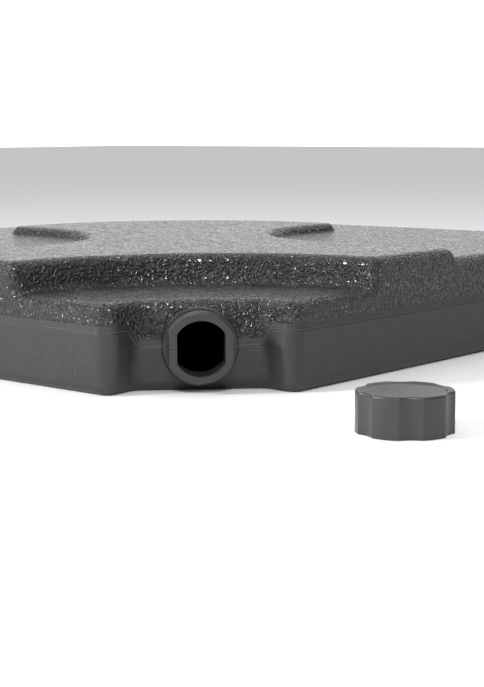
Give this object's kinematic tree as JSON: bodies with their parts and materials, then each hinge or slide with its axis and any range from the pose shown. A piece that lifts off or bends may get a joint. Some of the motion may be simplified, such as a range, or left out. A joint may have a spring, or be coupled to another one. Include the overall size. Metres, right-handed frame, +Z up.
{
  "type": "parasol base",
  "caption": "Fillable square weight plate for a parasol base, with a recessed filler neck in one cut-off corner and a loose fluted screw cap.",
  "frame": {"origin": "centre of the plate's square, on the ground face", "axes": "+Z up, +X and +Y along the plate's sides, with the cut filler corner at +X -Y"},
  "size_m": [0.6111, 0.48, 0.073],
  "materials": {
    "tank_plastic": "pebble-grained above the parting line, smooth satin below it",
    "cap_plastic": "satin",
    "washer_rubber": "matte"
  },
  "bodies": {
    "tank": {"tank": "tank_plastic"},
    "cap": {"filler_cap": "cap_plastic", "cap_washer": "washer_rubber"}
  },
  "joints": [
    {"name": "cap_lift", "type": "slide", "parent": "tank", "child": "cap", "axis": [0, 0, 1], "range_m": [0, 0.08]}
  ]
}
